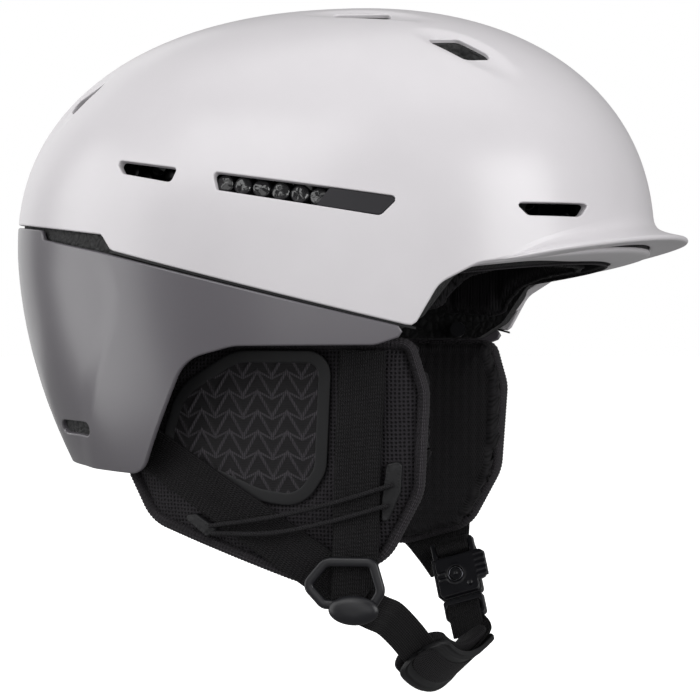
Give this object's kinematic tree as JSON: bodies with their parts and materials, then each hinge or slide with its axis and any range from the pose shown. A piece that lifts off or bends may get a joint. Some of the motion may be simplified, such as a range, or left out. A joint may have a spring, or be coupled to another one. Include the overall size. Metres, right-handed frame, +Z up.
{
  "type": "ski helmet",
  "caption": "Hard-shell ski helmet with a short brim, vented shell over a foam liner, padded ear covers, chin strap with a side-slide buckle and a dial-fit nape cradle.",
  "frame": {"origin": "middle of the head opening at brim level", "axes": "+X to the wearer's front, +Y to the wearer's left, +Z up"},
  "size_m": [0.2928, 0.2218, 0.2937],
  "materials": {
    "white_shell": "smooth satin white moulded plastic",
    "grey_shell": "gloss warm grey moulded plastic",
    "black_rubber": "matt black rubber",
    "badge": "satin charcoal plastic plate",
    "foam": "black expanded foam",
    "cells": "black crushable cell insert",
    "pad_fabric": "black knitted lining",
    "mesh_fabric": "black spacer mesh",
    "waffle_fabric": "black waffle knit",
    "binding": "ribbed charcoal edge binding",
    "chevron_fabric": "charcoal woven panel with a zigzag rib",
    "webbing": "black woven webbing",
    "cord": "black braided elastic cord",
    "buckle": "black moulded buckle plastic",
    "magnet": "dark plated steel"
  },
  "bodies": {
    "shell": {"brow_pad": "pad_fabric", "cell_liner": "cells", "cord_tabs_left": "black_rubber", "cord_tabs_right": "black_rubber", "cradle_rails": "buckle", "crown_pad": "pad_fabric", "divider_cap": "buckle", "divider_ring": "buckle", "ear_pad_binding_left": "binding", "ear_pad_binding_right": "binding", "ear_pad_cover_left": "mesh_fabric", "ear_pad_cover_right": "mesh_fabric", "ear_pad_inner_left": "waffle_fabric", "ear_pad_inner_right": "waffle_fabric", "ear_window_frame_left": "black_rubber", "ear_window_frame_right": "black_rubber", "ear_window_panel_left": "chevron_fabric", "ear_window_panel_right": "chevron_fabric", "elastic_cords_left": "cord", "elastic_cords_right": "cord", "foam_liner": "foam", "front_strap_left": "webbing", "front_strap_right": "webbing", "lower_shell": "grey_shell", "rear_strap_left": "webbing", "rear_strap_right": "webbing", "seam_gasket": "black_rubber", "side_badge_left": "badge", "side_badge_right": "badge", "strap_anchors": "buckle", "upper_shell": "white_shell", "window_cells_left": "cells", "window_cells_right": "cells"},
    "cradle": {"cradle_band": "buckle", "cradle_pad": "pad_fabric", "dial_housing": "buckle"},
    "dial": {"dial_knob": "black_rubber", "dial_spindle": "magnet"},
    "chin_strap": {"chin_webbing": "webbing", "chin_pad": "pad_fabric", "chin_pad_tray": "black_rubber", "buckle_base": "buckle", "buckle_bar": "buckle", "buckle_ladder": "buckle"},
    "latch": {"buckle_latch": "buckle", "buckle_magnet": "magnet"}
  },
  "joints": [
    {"name": "cradle_slide", "type": "slide", "parent": "shell", "child": "cradle", "axis": [1, 0, 0], "range_m": [0, 0.012]},
    {"name": "dial_turn", "type": "hinge", "parent": "cradle", "child": "dial", "pos_m": [-0.1, 0, -0.066], "axis": [-1, 0, 0], "range_deg": [0, 360]},
    {"name": "chin_swing", "type": "hinge", "parent": "shell", "child": "chin_strap", "pos_m": [0.041, -0.08, -0.1465], "axis": [0.0235, 0.9949, 0.0979], "range_deg": [-60, 30]},
    {"name": "latch_slide", "type": "slide", "parent": "chin_strap", "child": "latch", "axis": [0.9571, 0.0121, 0.2895], "range_m": [0, 0.014]}
  ],
  "couplings": [
    {"joint": "dial_turn", "follows": "cradle_slide", "rad_per_m": 523.59}
  ]
}
